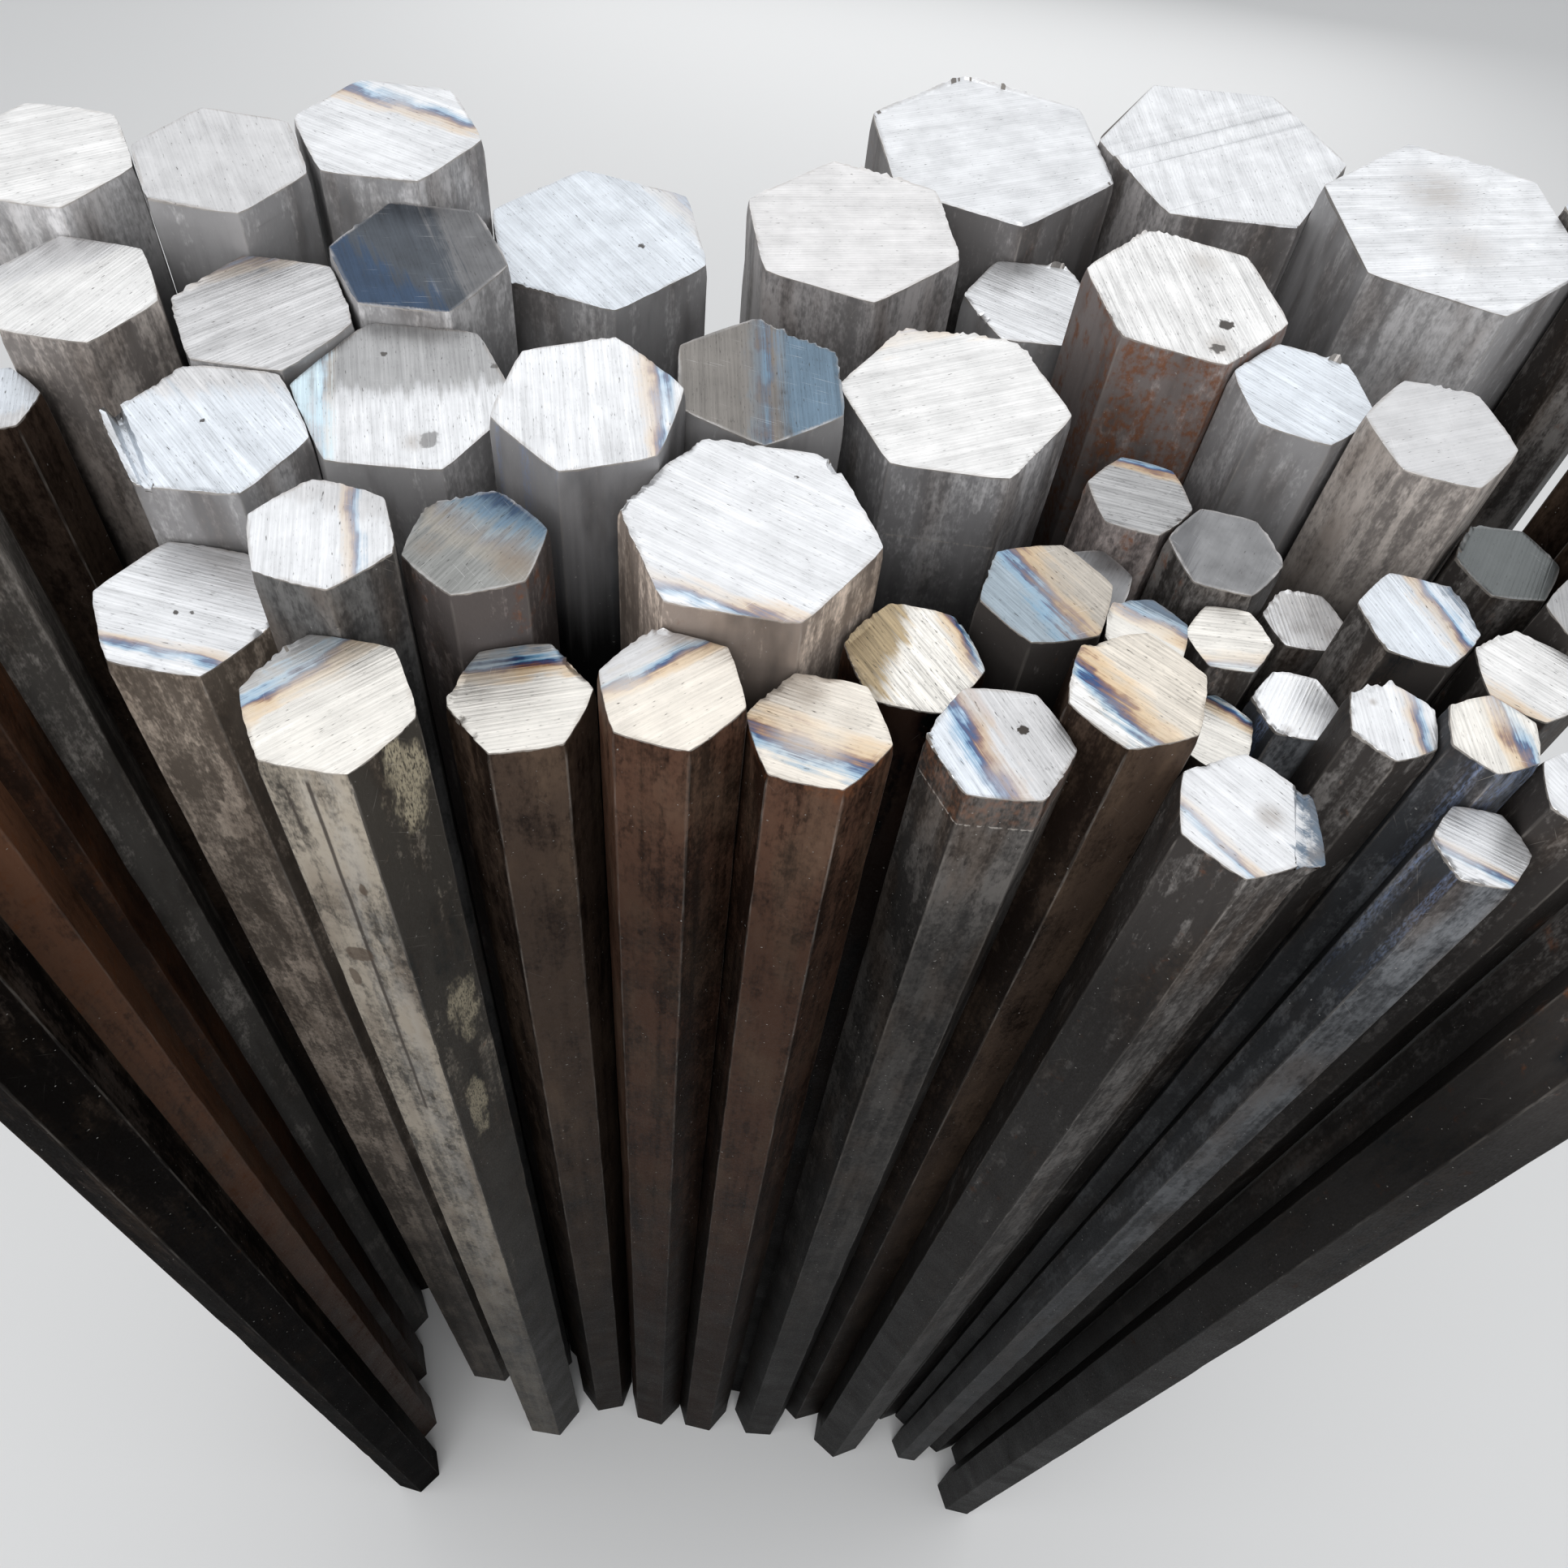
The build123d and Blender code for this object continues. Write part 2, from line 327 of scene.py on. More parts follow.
# Each table goes by the bars' numbers
ENDS = {
    1: Cut("warm", 62, zones=[(125, 0.45, "pale")]),
    2: Cut("pale", 38, 1.5, bands=[(112, 1.1, 0.45, 0.5)]),
    3: Cut("slate", 112, mottle=1.1, zones=[(230, 0.42, "navy"), (20, 0.35, "dark")]),
    4: Cut("cool", 128, bands=[(35, 1.1, 0.3, 0.3)], pits=[(0.43, -0.1, 0.035, 0.9)]),
    5: Cut("ash", 5, 0.5),
    6: Cut("bright", 20, 0.5),
    7: Cut("bright", 95, 0.8),
    8: Cut("bright", 8, smears=[(-0.05, 0.45, 0.5, 0.5), (0.0, -0.3, 0.45, 0.35)]),
    9: Cut("bright", 151, 1.5, pits=[(-0.95, -0.55, 0.16, 0.5)]),
    10: Cut(
        "warm", 100, 1.7, pits=[(0.36, -0.44, 0.09, 0.95), (0.2, -0.85, 0.08, 0.8)],
        smears=[(0.28, 0.6, 0.3, 0.4), (0.22, -0.8, 0.25, 0.5)],
    ),
    11: Cut("cool", 140, 1.2),
    12: Cut("pale", 18, 0.6),
    13: Cut("cool", 130, 1.4, zones=[(95, 0.6, "pale")], pits=[(-0.1, 0.1, 0.03, 0.9)]),
    14: Cut(
        "bright", 101, 1.2, zones=[(100, 0.02, "satin"), (187, 0.78, "ice")], bands=[(187, 0.8, 0.15, 0.2)],
        pits=[(-0.28, 0.57, 0.035, 0.8), (0.33, -0.62, 0.11, 0.5), (0.85, 0.47, 0.045, 0.6)],
        smears=[(0.2, -0.66, 0.2, 0.5)],
    ),
    15: Cut("bright", 98, 1.1, bands=[(6, 0.84, 0.3, 0.75)]),
    16: Cut(
        "brown grey", 93, 1.4, zones=[(2, -0.06, "dark"), (2, 0.2, "steel blue")],
        bands=[(182, 0.0, 0.35, 0.2)],
    ),
    17: Cut("warm", 20, 0.9, bands=[(112, 1.22, 0.4, 0.5)]),
    18: Cut("bright", 151, bands=[(251, 0.95, 0.22, 0.8)], pits=[(0.4, 0.62, 0.025, 0.9)]),
    19: Cut("bright", 98, zones=[(75, 0.5, "pale")], bands=[(12, 0.5, 0.24, 0.6)]),
    20: Cut(
        "haze", 58, 1.8, zones=[(60, 0.5, "steel blue"), (60, 0.8, "navy")], bands=[(60, 0.35, 0.7, 0.18)],
        smears=[(0.6, -0.4, 0.5, 0.7), (-0.7, -0.1, 0.4, 0.5)],
    ),
    21: Cut(
        "bright", 167, 1.2, zones=[(50, 0.6, "pale")], bands=[(261, 0.72, 0.2, 0.85)],
        pits=[(-0.07, -0.1, 0.035, 0.9), (0.12, -0.08, 0.03, 0.8)],
    ),
    22: Cut("cream", 38, zones=[(136, 0.78, "satin")], bands=[(136, 0.64, 0.4, 1.4)]),
    23: Cut("cream", 13, zones=[(104, 0.92, "blued")], bands=[(104, 0.7, 0.42, 1.4)]),
    24: Cut("sand", 35, 0.8, zones=[(125, 0.6, "pale")], bands=[(125, 0.5, 0.3, 1.0)]),
    25: Cut(
        "sand", 160, 1.3, bands=[(251, 0.4, 0.6, 1.0)], smears=[(-0.1, 0.6, 0.4, 0.5), (0.5, 0.2, 0.35, 0.35)]
    ),
    26: Cut("cream", 124, 2.6, zones=[(165, 0.3, "tan")], bands=[(21, 0.9, 0.3, 1.0)]),
    27: Cut(
        "bright", 117, 1.4, zones=[(27, -0.1, "pale"), (201, 0.1, "lilac"), (201, 0.52, "cool")],
        bands=[(201, 0.43, 0.45, 0.9)], pits=[(0.33, 0.26, 0.09, 1.0)],
    ),
    28: Cut("tan grey", 128, 1.7, zones=[(209, 0.2, "blue grey")], bands=[(209, 0.12, 0.6, 0.8)]),
    29: Cut("dim", 60, 0.5, mottle=1.2),
    30: Cut("satin", 165, 2.2, bands=[(72, 0.9, 0.3, 0.9)]),
    31: Cut("dim", 60, 0.4, mottle=1.3, zones=[(165, 0.6, "dark")]),
    32: Cut("cream", 146, zones=[(59, 0.55, "blued")], bands=[(59, 0.45, 0.5, 1.0)]),
    33: Cut("wheat", 141, 1.9, zones=[(217, 0.66, "warm")], bands=[(217, 0.47, 0.5, 1.0)]),
    34: Cut("cream", 177, 1.5, bands=[(272, 0.85, 0.5, 0.8)]),
    # Painted light: a whiter steel for an end lying low in shade
    35: Cut("painted bright", 95, smears=[(-0.22, -0.3, 0.3, 0.35), (0.55, -0.45, 0.25, 0.35)]),
    36: Cut("cool", 112, 1.3, zones=[(20, 0.9, "blued")], bands=[(20, 0.55, 0.4, 0.95)]),
    37: Cut("green grey", 60, 0.5),
    38: Cut("cream", 152, 1.4, bands=[(52, 0.79, 0.4, 1.0)]),
    39: Cut(
        "bright", 135, zones=[(350, 0.86, "blued")], bands=[(218, 0.72, 0.22, 0.9)],
        smears=[(0.37, 0.0, 0.35, 0.6)],
    ),
    # Painted light: a whiter steel for an end lying low in shade
    40: Cut("painted bright", 60, 0.6, smears=[(-0.4, -0.77, 0.25, 0.5)]),
    41: Cut("bright", 92, bands=[(0, 0.6, 0.35, 0.9)], smears=[(-0.37, 0.5, 0.15, 0.6)]),
    42: Cut("cream", 92, 1.4, bands=[(8, 0.5, 0.6, 1.0)]),
    43: Cut("warm", 142, 1.3, bands=[(232, 1.2, 0.6, 0.9)]),
    44: Cut("bright", 150, bands=[(238, 0.57, 0.3, 0.95)]),
    45: Cut("bright", 120),
    46: Cut("satin", 80),
    47: Cut("cool", 100, zones=[(300, 0.5, "pale")]),
}
# Ends that the picture doesn't show, dealt out in turn
PLAIN_ENDS = [
    Cut("warm", 30),
    Cut("pale", 115, 0.7),
    Cut("bright", 155, bands=[(70, 0.6, 0.35, 0.8)]),
    Cut("cool", 80),
]

# Rolled scales: darkest and lightest colour, share under rust, how scratched, shine, and how much painted
# shade takes off the light tone a hand's width below the sawn end
SCALES = {
    "grey": ((0.26, 0.255, 0.258), (0.56, 0.55, 0.555), 0.08, 0.5, 0.25, 1.15),
    # Painted shade: a grey that darkens faster below the sawn end, for bars standing among taller ones
    "deep grey": ((0.2, 0.196, 0.2), (0.5, 0.49, 0.495), 0.08, 0.5, 0.25, 1.3),
    "steel grey": ((0.04, 0.039, 0.039), (0.13, 0.128, 0.126), 0.08, 0.5, 0.2, 0.5),
    "gunmetal": ((0.036, 0.032, 0.030), (0.20, 0.187, 0.178), 0.38, 0.5, 0.06, 0.85),
    "graphite": ((0.026, 0.024, 0.023), (0.12, 0.111, 0.104), 0.15, 0.5, 0.03, 1.05),
    "dusk grey": ((0.15, 0.143, 0.142), (0.38, 0.36, 0.357), 0.25, 0.5, 0.2, 1.05),
    "rust specked": ((0.17, 0.145, 0.138), (0.42, 0.37, 0.35), 0.85, 0.4, 0.2, 0.8),
    "specked": ((0.085, 0.073, 0.07), (0.34, 0.295, 0.28), 0.5, 0.5, 0.15, 0.6),
    "umber": ((0.011, 0.0068, 0.005), (0.053, 0.0355, 0.026), 0.15, 0.35, 0.02, 0.6),
    "taupe": ((0.16, 0.143, 0.133), (0.48, 0.43, 0.395), 0.2, 0.4, 0.2, 0.75),
    "tan scale": ((0.22, 0.18, 0.155), (0.74, 0.62, 0.53), 0.3, 0.4, 0.2, 0.4),
    "chocolate": ((0.014, 0.0070, 0.0045), (0.078, 0.040, 0.026), 0.2, 0.2, 0.02, 0.75),
    "olive": ((0.12, 0.098, 0.08), (0.52, 0.435, 0.36), 0.2, 0.3, 0.1, 0.65),
    "khaki": ((0.040, 0.035, 0.029), (0.34, 0.298, 0.243), 0.2, 0.8, 0.1, 0.4),
    "blued scale": ((0.035, 0.037, 0.041), (0.17, 0.177, 0.188), 0.05, 0.8, 0.1, 0.85),
    "lead": ((0.12, 0.11, 0.10), (0.50, 0.46, 0.42), 0.15, 0.4, 0.15, 0.2),
    # A near-black scale, the darkest of the kinds
    "soot": ((0.004, 0.003, 0.0025), (0.05, 0.039, 0.033), 0.1, 0.2, 0.0, 0.6),
    "rusted": ((0.035, 0.016, 0.009), (0.13, 0.060, 0.033), 0.55, 0.1, 0.05, 0.6),
}
# How far the flats of a bar differ in tone
CONTRAST = 0.45
STRONG_CONTRAST = 0.65
TWO_TONED = ("khaki", "olive")
# Bars of each scale; the rest are gunmetal
SIDES = {
    "grey": (2, 3, 4, 8, 9, 11, 13, 14, 16, 48, 49, 50),
    "dusk grey": (5, 6, 7),
    "deep grey": (15, 17),
    "steel grey": (19,),
    "taupe": (1, 12),
    "tan scale": (18,),
    "rust specked": (10,),
    "specked": (20, 30),
    "lead": (57,),
    "umber": (23, 33, 47, 53, 54),
    "graphite": (27, 32, 38),
    "soot": (60,),
    "chocolate": (24, 25, 26),
    "olive": (21,),
    "khaki": (22,),
    "blued scale": (40, 42, 44),
    "rusted": (58, 59),
}
SCALE_OF = {number: scale for scale, numbers in SIDES.items() for number in numbers}

# Marks on the khaki side, in mm from a flat's left edge and from the sawn end. Seams: place across,
# start, stop and width. Smudges and flakes: place across, place down, half width and half height.
KHAKI_SEAMS = ((12.0, 4, 240, 0.85), (5.5, 10, 34, 0.6))
KHAKI_SMUDGES = ((8.5, 104, 4.5, 5.0), (4.0, 122, 1.6, 7.0), (17.0, 60, 1.2, 4.0))
KHAKI_FLAKES = ((15.0, 22, 9.0, 24), (15.0, 165, 7.0, 28), (10.0, 250, 5.0, 30))

# Tone of single flats, from darkest (0) to lightest (1), by the bearing that they face: partly each flat's
# own scale and partly painted light and shade, lighter on flats that face the light and darker on flats in
# shade
FLAT_TONES_AND_LIGHT = {
    1: {264: 0.75, 324: 0.8},
    4: {252: 0.8, 312: 0.1},
    5: {249: 0.2, 309: 0.5},
    6: {249: 0.3, 309: 0.1},
    7: {266: 0.1, 206: 0.3},
    8: {247: 0.95, 307: 0.2},
    10: {253: 0.5, 313: 0.4},
    12: {196: 0.65, 256: 0.15, 316: 0.0},
    14: {327: 0.9},
    17: {323: 1.0, 263: 0.4, 203: 0.4},
    21: {262: 0.85, 322: 0.5},
    22: {262: 1.0, 322: 0.0},
    24: {255: 0.6, 315: 0.1},
    25: {258: 0.7, 318: 0.1},
    27: {267: 0.95, 207: 0.5, 327: 0.6},
    39: {230: 0.1, 290: 0.9, 350: 1.0},
    42: {228: 0.4, 288: 0.9, 348: 0.9},
    44: {261: 0.8, 201: 0.2},
    58: {256: 0.3, 316: 0.2},
    59: {262: 0.95, 322: 0.95},
}
# Rust collars and scribed lines, by their depth under the sawn end in mm
COLLARS = {27: 14.0, 25: 4.0}
SCRIBED = {27: 14.0, 17: 30.0}
# Flats with a blue heat stain, by the bearing that they face
STAINED = {15: (227,), 40: (201, 231), 42: (228, 288), 44: (201,)}
# A point before the stack, in metres, under the camera. Flats that face it carry painted light and shade,
# lighter just under the sawn end and darker towards the foot, and the others are evenly darkened, their
# lightest scale no lighter than this.
PAINTED_SHADE_POINT = Vector((-0.05, -0.35, 0))
EVEN_LIGHTEST = 0.28

# Torn places round an end: (bearing, spread in degrees, depth in mm); a depth below zero is a burr
TEARS = {
    9: [(62, 10, -2.2), (205, 18, 1.2), (20, 30, 0.5)],
    10: [(300, 14, 1.2)],
    11: [(52, 6, -3.0)],
    13: [(130, 25, 0.5)],
    16: [(60, 32, 1.1), (20, 25, 0.9)],
    17: [(315, 24, 1.1), (100, 20, 0.5)],
    18: [(50, 8, 2.2), (105, 30, 0.7), (165, 24, 1.3)],
    19: [(350, 22, -0.8)],
    20: [(130, 34, 1.1)],
    21: [(350, 25, 0.8)],
    22: [(140, 25, -1.0), (330, 30, 0.6)],
    23: [(40, 30, 0.9), (215, 20, 1.3)],
    25: [(130, 20, 1.1), (90, 20, 0.5)],
    26: [(45, 25, 0.7)],
    27: [(330, 20, 0.7)],
    28: [(150, 25, 0.7)],
    33: [(120, 25, 0.8)],
    36: [(30, 25, -0.8)],
    39: [(110, 25, 0.6)],
    41: [(100, 30, 0.8)],
}
# Bars whose last strip was snapped off: the bearing of the flat it tore from, the ledge's width and
# drop, the lip's rise and lean and how far down it starts, in mm, and the bearing where it tore most
SNAPPED = {
    13: dict(flat=208, width=5.0, drop=3.5, rise=2.5, lean=1.5, root=12.0, end=118),
    39: dict(flat=350, width=5.0, drop=3.5, rise=-1.0, lean=4.2, root=12.0, end=260),
}
LIP_WALL = 1.8 * MM


def direction(degrees):
    """Unit vector in plan on a bearing."""
    return Vector((math.cos(math.radians(degrees)), math.sin(math.radians(degrees)), 0))


def between(bearing, other):
    """Angle between two bearings, in degrees."""
    return abs((bearing - other + 180) % 360 - 180)


def tint_stops(colours):
    """Heat tint along a band, from bare steel through straw, bronze, violet and blue to sky."""
    return [
        (0.0, (*colours.straw, 0.0)),
        (0.16, (*colours.straw, 0.4)),
        (0.34, (*colours.straw, 0.62)),
        (0.47, (*colours.bronze, 0.85)),
        (0.56, (*colours.violet, 0.9)),
        (BLUE_STOP, (*colours.blue, 1.0)),
        (0.78, (*colours.sky, 0.75)),
        (1.0, (*colours.sky, 0.0)),
    ]


class SawnEnd(Finish):
    """The finish of one sawn end: its place, its saw lines and the grains that its marks share."""

    def __init__(self, bar, saw):
        super().__init__(bpy.data.materials.new(f"sawn_{bar.name}"))
        self.bar = bar
        self.place = self.add("ShaderNodeTexCoord", output="Object")
        self.saw = math.radians(saw)
        self.centre = (bar.middle.x, bar.middle.y, bar.cut_height(bar.middle))
        self.fine = self.grain(self.along(14, 0.42), 1.0, 3.0, 0.6)
        self.swath = self.grain(self.along(80, 3.2))
        self.blotch = self.grain(self.place, 95.0, 3.0, 0.55)

    def along(self, run, pitch):
        """Coordinates drawn out so many mm along the saw lines and across them."""
        return self.mapped(self.place, self.centre, self.saw, (run * MM, pitch * MM, pitch * MM))

    def reach(self, bearing):
        """Distance from the middle along a bearing, in half flats."""
        turned = self.mapped(self.place, self.centre, math.radians(bearing), (self.bar.half,) * 3)
        return self.split(turned)[0]

    def from_spot(self, x, y, radius):
        """Distance from a spot, in its own radii."""
        half = self.bar.half
        spot = (self.centre[0] + x * half, self.centre[1] + y * half, self.centre[2])
        return self.measure("DISTANCE", self.place, spot) / (radius * half)

    def from_rim(self):
        """How far, in mm, a point lies inside the rim."""
        local = self.mapped(self.place, self.centre, self.bar.turn + FLAT_TURN / 2, (MM,) * 3)
        flats = [(math.cos(FLAT_TURN * k), math.sin(FLAT_TURN * k), 0) for k in range(FLATS // 2)]
        first, second, third = (abs(self.measure("DOT_PRODUCT", local, flat)) for flat in flats)
        return self.bar.half / MM - first.most(second).most(third)

    def zone(self, bearing, offset):
        """1 past a ragged line across the end."""
        ragged = self.blotch.swing(0.5) + self.fine.swing(0.5) + self.swath.swing(0.8)
        return (self.reach(bearing) + ragged).ramp(offset - 0.14, offset + 0.16)

    def heat(self, bearing, offset, width):
        """Place on the tint's ramp across a band that is blue at its offset."""
        heat = (self.reach(bearing) - offset) * (BLUE_STOP / width) + BLUE_STOP
        return heat + self.fine.swing(0.35) + self.swath.swing(0.9) + self.blotch.swing(0.8)

    def pit(self, x, y, radius):
        """1 inside a ragged hole."""
        crumble = self.grain(self.place, 1.1 / (radius * self.bar.half), 3.0)
        return (self.from_spot(x, y, radius) + crumble.swing(1.8)).ramp(1.1, 0.75)

    def smear(self, x, y, radius):
        """Cover of a film that thins out from a spot."""
        thin = (1 - self.from_spot(x, y, radius)).ramp(0.0, 0.9)
        return thin * (self.fine + self.blotch + self.swath).ramp(1.1, 1.7)

    def scratches(self):
        """Fresh scratches at a slant to the saw lines, in some places and not in others."""
        slant = self.mapped(self.place, self.centre, self.saw + 1.25, (16 * MM, 0.22 * MM, MM))
        return self.grain(slant, 1.0, 1.0).ramp(0.70, 0.76) * self.blotch.ramp(0.45, 0.6)


def sawn_finish(bar, cut, shape, colours):
    """The sawn end of one bar: saw lines, heat-tint bands, a duller zone, pits, smears and rim."""
    end = SawnEnd(bar, cut.saw)
    fine, swath, blotch = end.fine, end.swath, end.blotch
    tooth = end.add(
        "ShaderNodeTexWave",
        {"bands_direction": "Y"},
        {"Vector": end.along(40, 1), "Scale": 0.235, "Distortion": 4.0, "Detail": 2.0, "Detail Scale": 2.5},
        output="Fac",
    )
    dash = end.grain(end.along(2.2, 0.42), 1.0, 1.0)
    base = steel = STEELS[cut.steel]
    for bearing, offset, other in cut.zones:
        base = end.mix(end.zone(bearing, offset), base, STEELS[other])
    tone = fine.swing(0.55) + tooth.swing(0.08) + swath.swing(0.55) - dash.ramp(0.62, 0.74) * 0.2
    base = end.shade(base, 1 + tone * cut.lines + blotch.swing(cut.mottle))
    patchy = 0.4 + end.grain(end.place, 45.0, 1.0).ramp(0.3, 0.65) * 0.6
    for bearing, offset, width, strength in cut.bands:
        heat = end.heat(bearing, offset, width)
        tint = end.add("ShaderNodeValToRGB", {"stops": tint_stops(colours)}, {0: heat})
        amount = Wire(end, tint.socket.node.outputs["Alpha"])
        base = end.mix(amount * (patchy * strength), base, tint)
    base = end.mix(end.scratches() * 0.4, base, colours.scratch)
    dirt = dash.ramp(0.735, 0.79) * 0.8
    for x, y, radius, strength in cut.pits:
        dirt = dirt.most(end.pit(x, y, radius) * strength)
    for x, y, radius, strength in cut.smears:
        base = end.mix(end.smear(x, y, radius) * strength, base, colours.smear)
    rim = end.from_rim() + blotch.swing(1.6) + fine.swing(1.2)
    base = end.mix(rim.ramp(1.5, 0.5) * blotch.ramp(0.38, 0.62) * 0.35, base, colours.smear)
    if sum(steel) < DARK_STEEL:
        rubbed = rim.ramp(1.3, 0.3) * (0.15 + blotch.ramp(0.42, 0.6) * 0.45)
        base = end.mix(rubbed, base, STEELS["pale"])
    base = end.mix(dirt, base, colours.pit)
    roughness = 0.36 + fine.swing(0.3) + blotch.swing(0.35) + dirt * 0.3
    metallic = 0.72 - dirt * 0.6
    height = fine * 0.8 + tooth * 0.35 + swath
    return end.close(base, roughness, metallic, height, shape.saw_relief)


class RolledSide(Finish):
    """The finish of the sides of like bars: what their meshes store, and the grains that its marks share."""

    def __init__(self, name):
        super().__init__(bpy.data.materials.new(name))
        self.place = self.add("ShaderNodeTexCoord", output="Object")
        self.left, self.right, self.flat = self.split(self.stored("flat_reach"))
        self.depth, self.bar, self.collar = self.split(self.stored("end_reach"))
        self.aisle, self.scribed, self.stained = self.split(self.stored("flat_wear"))
        apart = self.flat * 60 + self.bar * 90
        self.sheet = self.add("ShaderNodeCombineXYZ", {}, {0: self.left, 1: self.depth, 2: apart})
        self.streak = self.marks(4, 180, 3.0, 0.6)
        self.blotch = self.grain(self.place, 32.0, 3.0, 0.6)
        self.freckle = self.marks(1.8, 3, 2.0, 0.6)
        self.fine = self.marks(0.5, 2)

    def marks(self, wide, tall, detail=2.0, roughness=0.5):
        """Grain in patches so many mm wide and tall."""
        unit = (wide * MM, wide * MM, tall * MM)
        return self.grain(self.mapped(self.place, unit=unit), 1.0, detail, roughness)

    def flat_marks(self, wide, tall, detail=2.0, roughness=0.5, turn=0.0):
        """The same on each flat by itself, and turned in its plane if need be."""
        return self.grain(self.mapped(self.sheet, turn=turn, unit=(wide, tall, 1)), 1.0, detail, roughness)

    def patch(self, across, down, wide, tall, ragged, soft):
        """1 inside a ragged oval, placed in mm from the flat's left edge and the sawn end."""
        reach_x = (self.left - across) / wide
        reach_y = (self.depth - down) / tall
        return (reach_x * reach_x + reach_y * reach_y + ragged).ramp(1.0, soft)

    def tone(self, contrast):
        """How light the scale is, with streaks, freckles and flakes, from 0 to about 1."""
        flake = self.marks(11, 34, 4.0, 0.62)
        tone = 0.5 + self.streak.swing(1.3) + self.blotch.swing(0.9) + self.freckle.swing(0.8)
        tone = tone + self.fine.swing(0.6) + flake.ramp(0.54, 0.58) * 0.22 - flake.ramp(0.43, 0.40) * 0.18
        return tone + self.flat.swing(contrast) + self.bar.swing(0.3)

    def rust(self, rusting):
        """Cover of rust in patches and freckles, and in a collar under the sawn end."""
        cover = self.blotch * 0.5 + self.grain(self.place, 150.0, 4.0, 0.65) * 0.7 + self.streak.swing(0.4)
        rust = cover.ramp(0.86 - 0.4 * rusting, 1.0 - 0.36 * rusting) * min(0.85, 0.3 + rusting)
        near_end = (self.collar - self.depth + self.blotch.swing(18)).ramp(-1, 3) * self.collar.ramp(0.5, 1.5)
        rust = rust.most(near_end * (self.freckle + self.blotch).ramp(0.7, 1.4) * 0.42)
        return rust * (0.3 + self.freckle.ramp(0.36, 0.62) * 0.7)

    def scribed_line(self):
        """A broken line across the flats, at the depth that the mesh stores."""
        off_line = abs(self.depth - self.scribed - self.freckle.swing(1.5))
        return off_line.ramp(0.5, 0.2) * self.scribed.ramp(8, 12) * self.freckle.ramp(0.4, 0.56)

    def heat_haze(self):
        """Cover of the blue stain that fades down from the sawn end."""
        streaks = self.streak.ramp(0.45, 0.65) * self.fine.ramp(0.35, 0.65)
        return streaks * self.depth.ramp(95, 10) * self.stained

    def scratches(self):
        """Long crossing scratches, in some places and not in others."""
        rising, falling = (self.flat_marks(20, 0.28, 1.0, turn=turn) for turn in (0.9, 2.0))
        return rising.most(falling).ramp(0.74, 0.80) * self.flat_marks(9, 22).ramp(0.45, 0.6)

    def worn_and_highlit_edges(self):
        """Bare steel along the long edges and round the sawn end; the light lines along the long edges are
        partly a painted highlight.
        """
        rub = self.marks(3, 18, 3.0)
        near = self.left.least(self.right) + rub.swing(1.6)
        worn = near.ramp(0.8, 0.25) * (0.06 + rub.ramp(0.45, 0.7) * 0.4)
        return worn.most((self.depth + rub.swing(1.5)).ramp(0.7, 0.3) * 0.6)

    def clean(self, lightest, shade_falloff):
        """Painted light and shade as a share of the colour: on flats that face the point before the stack,
        lighter just under the sawn end and darker towards the foot, where shade falls among the bars; other
        flats evenly darkened.
        """
        # Painted light just under the sawn end, then painted shade below it that deepens towards the foot
        level = self.depth + self.streak.swing(50)
        fade = 1.35 - level.ramp(0, 110) * (1.15 - self.flat * 0.3) * shade_falloff
        fade = (fade * (1 - level.ramp(100, 700) * 0.8)).most(0.07)
        return fade * self.aisle + (1 - self.aisle) * min(1.0, EVEN_LIGHTEST / lightest)


def scale_finish(kind, shape, colours):
    """Rolled side: scale in streaks and freckles, rust, scratches, dust, edges worn bare and partly painted
    as highlights, and painted light and shade down from the sawn end.
    """
    dark, light, rusting, scratched, shine, shade_falloff = SCALES[kind]
    side = RolledSide(side_material(kind))
    tone = side.tone(STRONG_CONTRAST if kind in TWO_TONED else CONTRAST)
    base = side.mix(tone.ramp(0.1, 0.95), dark, light)
    cloud = side.marks(14, 60, 3.0).ramp(0.45, 0.68) * 0.45
    base = side.mix(cloud, base, side.shade(colours.oxide, 0.3 + tone * 1.2))
    rust = side.rust(rusting)
    base = side.mix(rust, base, side.shade(colours.rust, 0.3 + side.freckle * 0.9))
    base = side.mix(side.scribed_line() * 0.6, base, colours.worn)
    base = side.mix(side.heat_haze() * 0.45, base, colours.stain)
    if kind == "khaki":
        base = khaki_marks(side, base, colours)
    base = side.mix(side.scratches() * (0.6 * scratched), base, colours.worn)
    # Worn edges: bare steel, and along the long edges partly a painted highlight
    worn = side.worn_and_highlit_edges()
    base = side.mix(worn, base, colours.worn)
    # Painted light and shade laid on the scale colour
    base = side.shade(base, side.clean(light[1], shade_falloff))
    dust = side.grain(side.place, 1000.0, 0.0).ramp(0.84, 0.88) * 0.6
    base = side.mix(dust, base, colours.dust)
    roughness = 0.56 + side.fine.swing(0.4) + side.blotch.swing(0.3) + rust * 0.2 - worn * 0.15
    metallic = 0.15 - rust * 0.15 + worn * 0.4
    height = side.freckle * 0.7 + side.blotch * 2.0
    return side.close(base, roughness, metallic, height, shape.scale_relief, shine)


